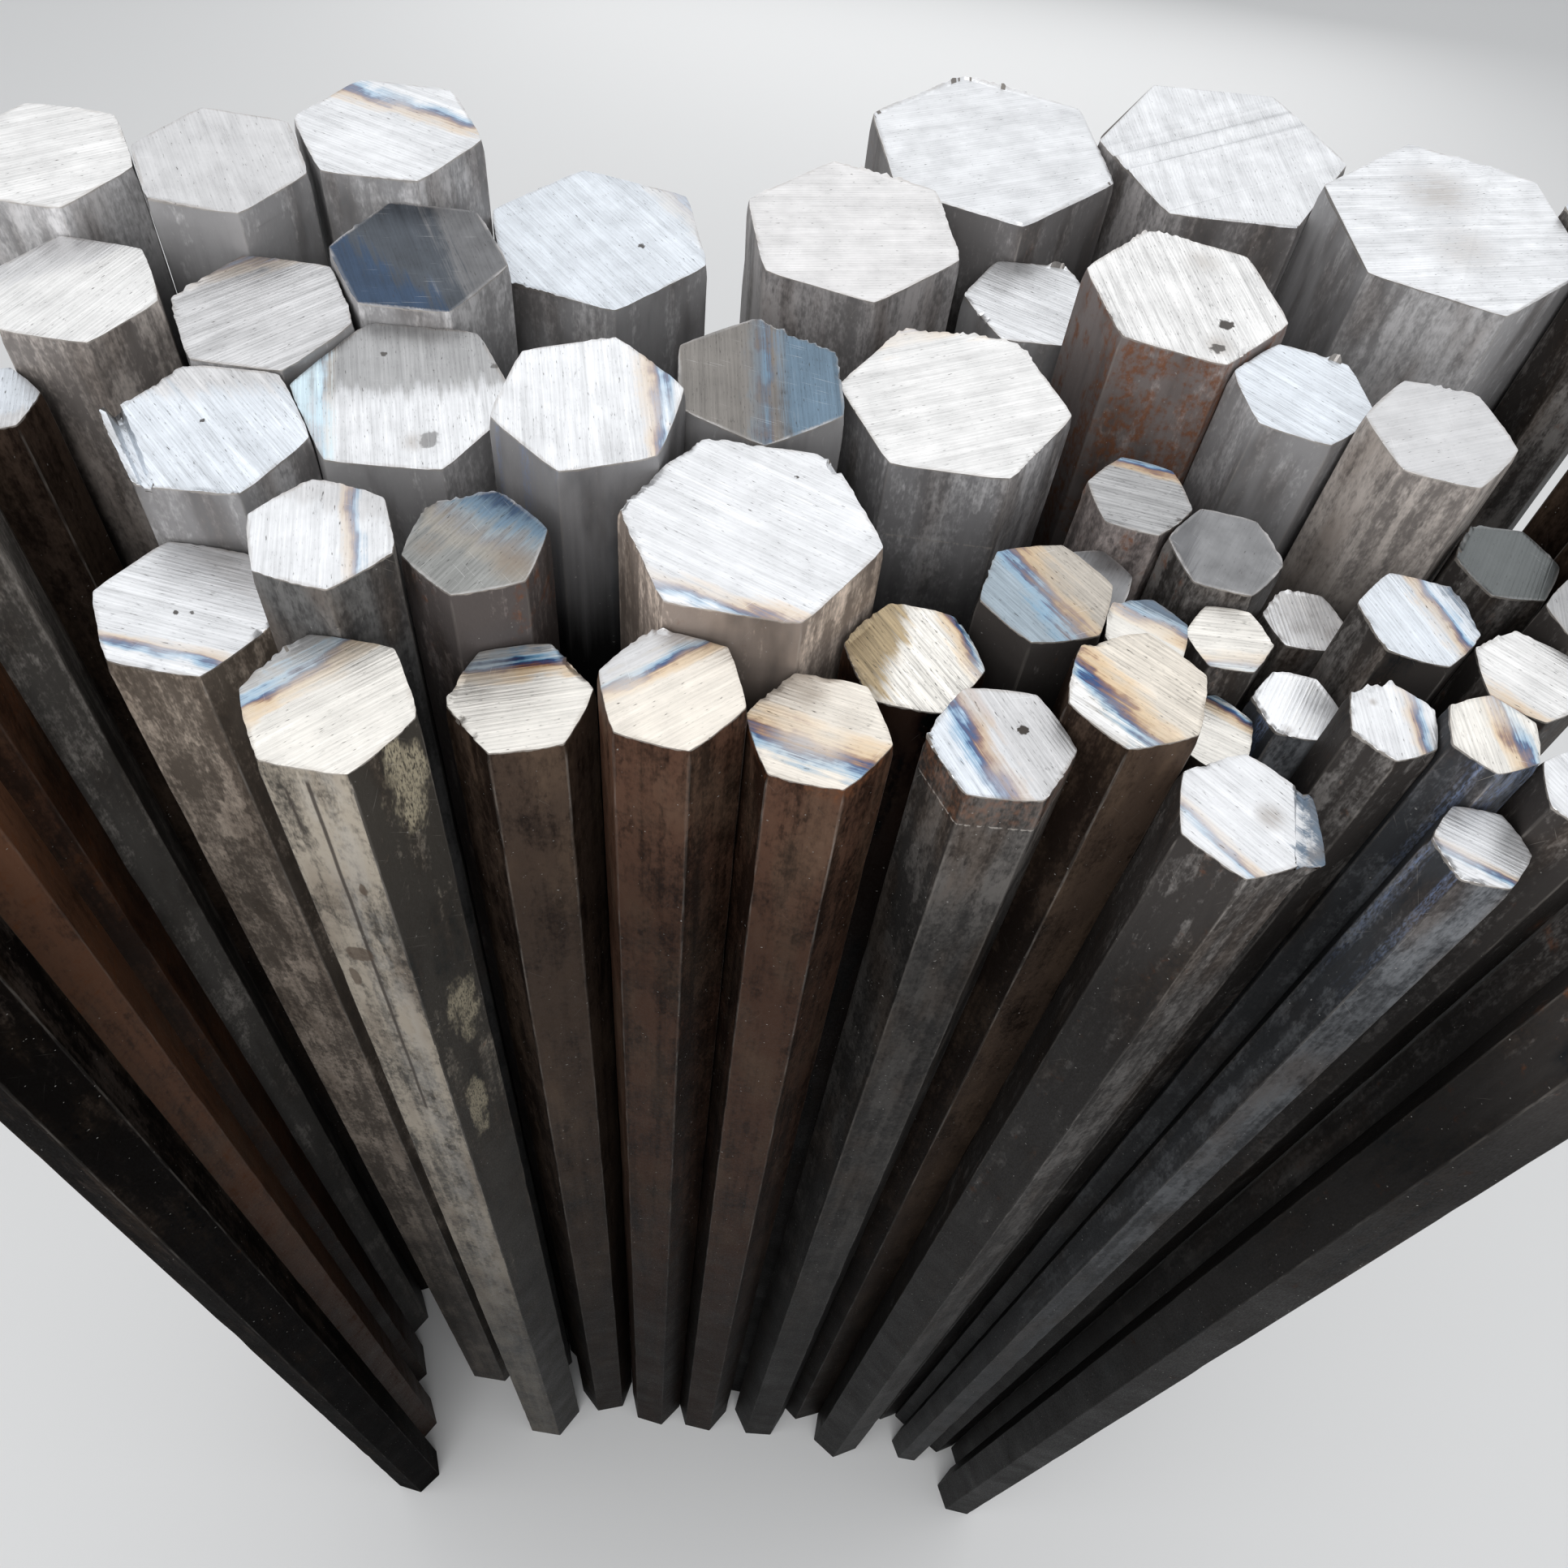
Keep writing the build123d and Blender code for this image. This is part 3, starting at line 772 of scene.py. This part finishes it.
def khaki_marks(side, base, colours):
    """Long seams, smudges and a grey strip on the lightest flat, and pale flakes on the darkest."""
    wander = side.flat_marks(40, 60, 3.0)
    crumbs = side.flat_marks(5, 16, 3.0, 0.65)
    lightest = side.flat.ramp(0.9, 0.98)
    darkest = side.flat.ramp(0.1, 0.02)
    strip = abs(side.left - 15).ramp(8, 3) * crumbs.ramp(0.35, 0.6) * lightest
    base = side.mix(strip * 0.35, base, colours.strip)
    for across, start, stop, width in KHAKI_SEAMS:
        seam = abs(side.left + wander.swing(1.6) - across).ramp(width, width * 0.3)
        seam = seam * side.depth.ramp(start, start + 3) * side.depth.ramp(stop, stop - 6)
        base = side.mix(seam * lightest * 0.9, base, colours.pit)
    for spot in KHAKI_SMUDGES:
        smudge = side.patch(*spot, crumbs.swing(2.5), 0.5)
        base = side.mix(smudge * lightest * 0.75, base, colours.oxide)
    for spot in KHAKI_FLAKES:
        pale = side.patch(*spot, crumbs.swing(3.5), 0.2)
        base = side.mix(pale * darkest * side.fine.ramp(0.25, 0.6) * 0.8, base, colours.flake)
    return base


def side_material(kind):
    return "side_" + kind.replace(" ", "_")


def read_bar(name):
    """Where a CAD bar stands: its axis in plan, half its size, its turn, and its sawn plane."""
    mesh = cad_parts[name].data
    mesh.calc_loop_triangles()
    faces = {}
    top = None
    for triangle in mesh.loop_triangles:
        normal = triangle.normal
        if abs(normal.z) < 0.01:
            key = round(math.degrees(math.atan2(normal.y, normal.x)), 1) % 360
            area = faces[key][0] if key in faces else 0.0
            faces[key] = (area + triangle.area, triangle.center.dot(normal), normal.copy())
        elif normal.z > 0.99 and (top is None or triangle.area > top[0]):
            top = (triangle.area, normal.copy(), triangle.center.dot(normal))
    flats = sorted(faces.values(), key=lambda face: -face[0])[:FLATS]
    _, reach, normal = flats[0]
    opposite = min(flats, key=lambda face: face[2].dot(normal))
    half = (reach + opposite[1]) / 2
    other = next(face for face in flats if abs(face[2].dot(normal)) < 0.9)
    centre = Matrix((normal.xy, other[2].xy)).inverted() @ Vector((reach - half, other[1] - half))
    turn = math.atan2(normal.y, normal.x) - FLAT_TURN / 2
    return centre, half, turn, top[1], top[2]


class Bar:
    """Place, size and sawn plane of one bar, read from its CAD node."""

    def __init__(self, number):
        self.number = number
        self.name = f"bar_{number:02d}"
        centre, self.half, self.turn, self.cut_normal, self.cut_reach = read_bar(self.name)
        self.middle = Vector((centre.x, centre.y, 0))
        self.corner = self.half / math.cos(FLAT_TURN / 2)
        turns = [self.turn + FLAT_TURN * k for k in range(FLATS + 1)]
        self.corners = [self.middle + Vector((math.cos(t), math.sin(t), 0)) * self.corner for t in turns]
        self.bearings = [math.degrees(t + FLAT_TURN / 2) for t in turns[:FLATS]]
        self.axes = [direction(bearing) for bearing in self.bearings]

    def cut_height(self, point):
        """Height of the sawn plane over a point."""
        tilt = self.cut_normal.x * point.x + self.cut_normal.y * point.y
        return (self.cut_reach - tilt) / self.cut_normal.z

    def out(self, point):
        """The way in plan from the bar's axis to a point."""
        return Vector((point.x - self.middle.x, point.y - self.middle.y, 0))

    def inset(self, point):
        """How far a point lies inside the flats."""
        out = self.out(point)
        return self.half - max(out.dot(axis) for axis in self.axes)


def bevel(bm, edges, offset, segments):
    bmesh.ops.bevel(
        bm,
        geom=edges,
        offset=offset,
        offset_type="OFFSET",
        segments=segments,
        profile=0.5,
        affect="EDGES",
        material=-1,
        clamp_overlap=True,
    )


def sawn_face(bm):
    return max((f for f in bm.faces if f.normal.z > LEVEL), key=lambda f: f.calc_area())


def raise_blank(bm, bar, levels):
    """A hexagon extruded from the floor through the levels, and closed."""
    first_corner = Matrix.Rotation(bar.turn - math.pi / 2, 4, "Z")
    bmesh.ops.create_circle(bm, cap_ends=True, segments=FLATS, radius=bar.corner, matrix=first_corner)
    bmesh.ops.translate(bm, verts=bm.verts, vec=bar.middle)
    bmesh.ops.reverse_faces(bm, faces=bm.faces)
    ring = list(bm.edges)
    below = 0.0
    for level in levels:
        grown = bmesh.ops.extrude_edge_only(bm, edges=ring)["geom"]
        ring = [e for e in grown if isinstance(e, bmesh.types.BMEdge) and all(v in grown for v in e.verts)]
        bmesh.ops.translate(bm, verts=list({v for e in ring for v in e.verts}), vec=(0, 0, level - below))
        below = level
    bmesh.ops.edgeloop_fill(bm, edges=ring)


def divide_crown(bm, bar, floor, step):
    """Divides the level edges above a height, so that the rim has points to tear and burr."""
    edges = []
    for edge in bm.edges:
        low, high = sorted(v.co.z for v in edge.verts)
        if high - low < LEVEL_EDGE and edge.calc_length() > 3 * MM and low > floor:
            edges.append(edge)
    bmesh.ops.subdivide_edges(bm, edges=edges, cuts=max(4, round(bar.corner / step)))
    bm.normal_update()


def ring_cap(bm, bar, width):
    """Sets a narrow ring of faces round the sawn face."""
    cap = sawn_face(bm)
    grown = bmesh.ops.extrude_face_region(bm, geom=[cap])["geom"]
    bmesh.ops.delete(bm, geom=[cap], context="FACES_ONLY")
    inner = [v for v in grown if isinstance(v, bmesh.types.BMVert)]
    shrink = 1 - width / bar.half
    bmesh.ops.scale(bm, vec=(shrink, shrink, 1), space=Matrix.Translation(-bar.middle), verts=inner)
    bm.normal_update()


def shape_bar(bar, shape):
    """A hexagonal bar with rounded long edges and a worn, finely divided rim round its sawn end."""
    top = bar.cut_height(bar.middle)
    crown = [top - depth * MM for depth in CROWN_DEPTHS]
    rings = max(2, round(crown[0] / shape.dent_step))
    shaft = [crown[0] * i / rings for i in range(1, rings + 1)]
    bm = bmesh.new()
    raise_blank(bm, bar, [*shaft, *crown[1:], top])
    uprights = [e for e in bm.edges if abs(e.verts[0].co.z - e.verts[1].co.z) > 1e-5]
    bevel(bm, uprights, shape.edge_rounding * math.tan(FLAT_TURN / 2), 3)
    for vertex in bm.verts:
        if vertex.co.z > top - 1e-6:
            vertex.co.z = bar.cut_height(vertex.co)
    bm.normal_update()
    bevel(bm, list(sawn_face(bm).edges), shape.rim_break, 2)
    divide_crown(bm, bar, crown[1] - 1e-5, shape.rim_step)
    for width in CAP_RINGS:
        ring_cap(bm, bar, width * MM)
    if bar.number in SNAPPED:
        cut_ledge(bm, bar, SNAPPED[bar.number], crown[2])
    return bm


def cut_ledge(bm, bar, tear, floor):
    """Cuts the crown along the lines where the snapped strip's ledge and lip begin and end."""
    axis = direction(tear["flat"])
    width = tear["width"] * MM
    for inset in (width, width - 1.2 * MM, LIP_WALL + 0.4 * MM, LIP_WALL):
        faces = [f for f in bm.faces if f.calc_center_median().z > floor]
        edges = {e for f in faces for e in f.edges}
        verts = {v for f in faces for v in f.verts}
        line = bar.middle + axis * (bar.half - inset)
        bmesh.ops.bisect_plane(bm, geom=[*faces, *edges, *verts], plane_co=line, plane_no=axis)
    on_cap = [e for e in bm.edges if all(f.normal.z > LEVEL for f in e.link_faces)]
    long = [e for e in on_cap if e.calc_length() > 4 * MM]
    across = [e for e in long if abs((e.verts[0].co - e.verts[1].co).normalized().dot(axis)) < 0.05]
    bmesh.ops.subdivide_edges(bm, edges=across, cuts=14)


def rough_rim(bar, co, depth, seed, shape, saw):
    """Moves a point near the sawn end: softened corners, burrs where the saw came out, tears."""
    inset = bar.inset(co)
    if inset > RIM_WIDTH:
        return
    out = bar.out(co)
    outward = out.normalized()
    bearing = math.degrees(math.atan2(out.y, out.x))
    spot = outward * bar.half + Vector((0, 0, depth * 0.6))
    rough = noise.noise(spot * 560 + seed)
    wave = noise.noise(spot * 130 + seed)
    shift = (rough * 0.12 + wave * 0.22) * MM
    shift -= max(0.0, out.length - bar.corner + 2.4 * MM) * 0.3
    sink = 0.0
    for centre, spread, size in TEARS.get(bar.number, ()):
        off = between(bearing, centre) / spread
        if off < 1:
            jag = abs(noise.noise(spot * 260 + seed)) * 1.7 + abs(noise.noise(spot * 640 + seed)) * 0.9
            weight = (1 - off * off) * jag * size * MM
            shift -= weight * (0.8 if size > 0 else 0.5)
            sink += weight * (1.1 if size > 0 else 1.5)
    co += outward * (shift * (1 - depth / RIM_DEPTH))
    if inset > FRINGE_WIDTH:
        co.z = bar.cut_height(co)
    elif depth < FRINGE_DEPTH:
        leaving = 0.5 + 0.5 * math.cos(math.radians(bearing - saw - 90))
        burr = max(0.0, noise.noise(spot * 55 + seed * 2)) * max(0.0, rough + 0.25) * (0.5 + 2.5 * leaving)
        co.z += burr * shape.burr_height - sink
        co += outward * (burr * shape.burr_height * 0.4)


def lean_lip(bar, co, depth, tear, seed):
    """Sinks the ledge that the snapped strip left and raises and leans the lip outside it."""
    axis = direction(tear["flat"])
    out = bar.out(co)
    inset = (bar.half - out.dot(axis)) / MM
    torn = min(1.0, max(0.0, 0.5 + out.dot(direction(tear["end"])) / bar.corner))
    rough = noise.noise(co * 190 + seed)
    if inset < LIP_WALL / MM + 0.1:
        climb = max(0.0, 1 - depth / (tear["root"] * MM))
        co += axis * (tear["lean"] * climb * climb * (0.15 + 0.85 * torn) * MM)
        co.z += (tear["rise"] * torn + rough * 0.35 * torn) * climb * MM
    elif inset < tear["width"] - 0.6 and depth < FRINGE_DEPTH:
        co.z -= (tear["drop"] + rough * 0.8) * (0.3 + 0.7 * torn) * MM
    elif inset < tear["width"] + 0.2 and depth < FRINGE_DEPTH:
        co += axis * (rough * 0.7 * MM)


def knock(bm, bar, shape, saw):
    """Moves the points of the rim and of the long edges, and keeps them inside the CAD box."""
    seed = Vector((bar.number * 7.3, 3.1, 1.7))
    low, high = CAD_BOX
    tear = SNAPPED.get(bar.number)
    for vertex in bm.verts:
        co = vertex.co
        depth = bar.cut_height(co) - co.z
        if depth < RIM_DEPTH:
            rough_rim(bar, co, depth, seed, shape, saw)
        if tear and depth < tear["root"] * MM:
            lean_lip(bar, co, depth, tear, seed)
        elif depth > RIM_DEPTH and co.z > 1 * MM:
            out = bar.out(co)
            if out.length > bar.half * 1.08:
                hit = max(0.0, noise.noise(Vector((co.x * 8, co.y * 8, co.z * 34)) + seed) - 0.12)
                co -= out.normalized() * (hit * 3 * shape.dent_depth)
        for i in range(3):
            co[i] = min(max(co[i], low[i]), high[i])


def mark_reach(bm, bar):
    """Stores on the corners of a side face what its finish reads, lengths in mm.

    flat_reach: distance to the flat's left and right edges, and the flat's tone, which for some flats also
    holds painted light and shade.
    end_reach: depth under the sawn end, the bar's own tone, and the depth of its rust collar.
    flat_wear: 1 where the flat faces the point before the stack and takes painted shade, the depth of a
    scribed line, and 1 where it is stained.
    """
    names = ("flat_reach", "end_reach", "flat_wear")
    flat_layer, end_layer, wear_layer = (bm.loops.layers.float_vector.new(name) for name in names)
    tones_and_light = FLAT_TONES_AND_LIGHT.get(bar.number, {})
    stains = STAINED.get(bar.number, ())
    collar = COLLARS.get(bar.number, 0.0)
    scribed = SCRIBED.get(bar.number, 0.0)
    bar_tone = noise.cell(Vector((bar.number + 0.5, 0.5, 0.5)))
    for face in bm.faces:
        if abs(face.normal.z) > UPRIGHT:
            continue
        angle_in = (math.atan2(face.normal.y, face.normal.x) - bar.turn) % math.tau
        index = math.floor(angle_in / FLAT_TURN)
        bearing = bar.bearings[index]
        own_tone = 0.15 + 0.7 * noise.cell(Vector((bar.number + 0.5, index + 0.5, 9.5)))
        # Listed tones hold painted light and shade as well as the flat's own scale
        tone = next((t for b, t in tones_and_light.items() if between(b, bearing) < SAME_FLAT), own_tone)
        # 1 on flats that face the point before the stack, which take the painted shade
        aisle = float((PAINTED_SHADE_POINT - bar.middle).dot(bar.axes[index]) > bar.half)
        stained = float(any(between(b, bearing) < SAME_FLAT for b in stains))
        for loop in face.loops:
            co = loop.vert.co
            left, right = ((co.xy - corner.xy).length / MM for corner in bar.corners[index : index + 2])
            loop[flat_layer] = (left, right, tone)
            loop[end_layer] = ((bar.cut_height(co) - co.z) / MM, bar_tone, collar)
            loop[wear_layer] = (aisle, scribed, stained)


def new_mesh(bm, name):
    mesh = bpy.data.meshes.new(name)
    bm.to_mesh(mesh)
    bm.free()
    return mesh


def new_object(context, name, data):
    made = bpy.data.objects.new(name, data)
    context.scene.collection.objects.link(made)
    return made


def make_bar(context, number):
    """Builds one bar over its CAD node and gives it its two finishes."""
    shape = context.scene.bar_shape
    colours = context.scene.bar_colours
    bar = Bar(number)
    cut = ENDS.get(number) or PLAIN_ENDS[number % len(PLAIN_ENDS)]
    bm = shape_bar(bar, shape)
    knock(bm, bar, shape, cut.saw)
    bm.normal_update()
    for face in bm.faces:
        inside = bar.inset(face.calc_center_median()) > 1 * MM
        face.material_index = 1 if abs(face.normal.z) > SAWN or inside else 0
        face.smooth = True
    mark_reach(bm, bar)
    mesh = new_mesh(bm, bar.name + "_stock")
    mesh.set_sharp_from_angle(angle=SHARP_ANGLE)
    piece = new_object(context, bar.name + "_stock", mesh)
    weighted = piece.modifiers.new("flat faces", "WEIGHTED_NORMAL")
    weighted.keep_sharp = True
    kind = SCALE_OF.get(number, "gunmetal")
    side = bpy.data.materials.get(side_material(kind)) or scale_finish(kind, shape, colours)
    mesh.materials.append(side)
    mesh.materials.append(sawn_finish(bar, cut, shape, colours))
    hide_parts(bar.name)
    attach(piece, "root")


class DressBars:
    """Shared by the operators that dress a group of bars."""

    bl_options = {"REGISTER", "UNDO"}

    def execute(self, context):
        for number in self.numbers:
            make_bar(context, number)
        return {"FINISHED"}


class BARS_OT_back_row(DressBars, bpy.types.Operator):
    """Dress the heavy bars of the back row"""

    bl_idname = "bars.back_row"
    bl_label = "Back Row"
    numbers = (4, 5, 6, 7, 8, 9, 10, 48, 49, 50, 51, 52)


class BARS_OT_middle(DressBars, bpy.types.Operator):
    """Dress the bars of the middle rows"""

    bl_idname = "bars.middle"
    bl_label = "Middle Rows"
    numbers = (1, 2, 3, 11, 12, 13, 14, 15, 16, 17, 18, 19, 20)


class BARS_OT_front_row(DressBars, bpy.types.Operator):
    """Dress the bars of the front row"""

    bl_idname = "bars.front_row"
    bl_label = "Front Row"
    numbers = (21, 22, 23, 24, 25, 26, 27, 28, 33, 39)


class BARS_OT_thin_stock(DressBars, bpy.types.Operator):
    """Dress the thin bars on the right"""

    bl_idname = "bars.thin_stock"
    bl_label = "Thin Stock"
    numbers = (29, 30, 31, 32, 34, 35, 36, 37, 38, 40, 41, 42, 43, 44, 45, 46, 53, 54, 55, 56)


class BARS_OT_rusted_flank(DressBars, bpy.types.Operator):
    """Dress the rusted bars on the left"""

    bl_idname = "bars.rusted_flank"
    bl_label = "Rusted Flank"
    numbers = (47, 57, 58, 59, 60)


# Soft lamps: name, place and the point it is turned to in metres, width and height, and power in watts.
# The side panels stand low, so that they don't glare on the sawn ends.
LAMPS = (
    ("sky panel", (0.15, 1.15, 2.8), (0, 0, 0.95), (3.0, 2.2), 8),
    ("front panel", (-0.25, -1.35, 2.35), (0, 0, 0.9), (1.4, 1.2), 19),
    ("right panel", (2.2, -0.1, 0.6), (0, 0, 0.6), (1.6, 0.7), 8),
    ("back panel", (0.3, 2.3, 0.6), (0, 0, 0.6), (1.8, 0.7), 7),
    ("left panel", (-2.0, -0.9, 1.6), (0, 0, 0.7), (1.8, 1.6), 11),
)


class BARS_OT_studio(bpy.types.Operator):
    """Set the floor, the pale surroundings, the lamps and the camera"""

    bl_idname = "bars.studio"
    bl_label = "Studio"
    bl_options = {"REGISTER", "UNDO"}

    def execute(self, context):
        studio = context.scene.studio_setup
        self.add_floor(context, studio)
        self.add_world(context, studio)
        for lamp in LAMPS:
            self.add_lamp(context, *lamp)
        self.add_camera(context, studio)
        context.scene.view_settings.view_transform = "Standard"
        return {"FINISHED"}

    def add_floor(self, context, studio):
        bm = bmesh.new()
        bmesh.ops.create_grid(bm, x_segments=1, y_segments=1, size=6)
        floor = new_object(context, "floor", new_mesh(bm, "floor"))
        finish = Finish(bpy.data.materials.new("floor"))
        sockets = {"Base Color": (*studio.floor, 1.0), "Roughness": 0.9}
        shader = finish.add("ShaderNodeBsdfPrincipled", {}, sockets)
        finish.add("ShaderNodeOutputMaterial", {}, {"Surface": shader})
        floor.data.materials.append(finish.owner)

    def add_world(self, context, studio):
        """Surroundings that light softly and are seen, also by reflection, as a plain pale tone."""
        air = Finish(bpy.data.worlds.new("pale surroundings"))
        kinds = ("Camera", "Glossy", "Transmission")
        camera, glossy, through = (air.add("ShaderNodeLightPath", output=f"Is {kind} Ray") for kind in kinds)
        seen = camera.most(glossy).most(through)
        strength = studio.ambient + seen * (1 - studio.ambient)
        background = air.add("ShaderNodeBackground", {}, {"Color": (*studio.air, 1.0), "Strength": strength})
        air.add("ShaderNodeOutputWorld", {}, {"Surface": background})
        context.scene.world = air.owner

    def add_lamp(self, context, name, place, target, size, power):
        data = bpy.data.lights.new(name, "AREA")
        data.shape = "RECTANGLE"
        data.size, data.size_y = size
        data.energy = power
        lamp = new_object(context, name, data)
        lamp.location = place
        lamp.rotation_euler = (Vector(target) - Vector(place)).to_track_quat("-Z", "Y").to_euler()

    def add_camera(self, context, studio):
        data = bpy.data.cameras.new("photo view")
        data.sensor_width = 36
        data.lens = studio.lens
        data.clip_start = 0.01
        camera = new_object(context, "photo view", data)
        turn = (
            Matrix.Rotation(-studio.heading, 4, "Z")
            @ Matrix.Rotation(math.pi / 2 - studio.pitch, 4, "X")
            @ Matrix.Rotation(studio.roll, 4, "Z")
        )
        camera.matrix_world = Matrix.Translation(studio.place) @ turn
        context.scene.camera = camera


OPERATORS = (
    BARS_OT_back_row,
    BARS_OT_middle,
    BARS_OT_front_row,
    BARS_OT_thin_stock,
    BARS_OT_rusted_flank,
    BARS_OT_studio,
)


class BARS_PT_panel(bpy.types.Panel):
    """Lists the steps that dress the bar stock"""

    bl_idname = "BARS_PT_panel"
    bl_label = "Bar Stock"
    bl_space_type = "VIEW_3D"
    bl_region_type = "UI"
    bl_category = "Bar Stock"

    def draw(self, context):
        for operator in OPERATORS:
            self.layout.operator(operator.bl_idname)
        for group in GROUPS:
            settings = getattr(context.scene, group)
            box = self.layout.box()
            for key in settings.__annotations__:
                box.prop(settings, key)


GROUPS = {"bar_shape": BarShape, "bar_colours": BarColours, "studio_setup": StudioSetup}
CLASSES = (*GROUPS.values(), *OPERATORS, BARS_PT_panel)


def register():
    for cls in CLASSES:
        bpy.utils.register_class(cls)
    for name, group in GROUPS.items():
        setattr(bpy.types.Scene, name, PointerProperty(type=group))


def unregister():
    for name in GROUPS:
        delattr(bpy.types.Scene, name)
    for cls in reversed(CLASSES):
        bpy.utils.unregister_class(cls)


def main():
    register()
    bpy.ops.bars.back_row()
    bpy.ops.bars.middle()
    bpy.ops.bars.front_row()
    bpy.ops.bars.thin_stock()
    bpy.ops.bars.rusted_flank()
    bpy.ops.bars.studio()


if __name__ == "__main__":
    main()
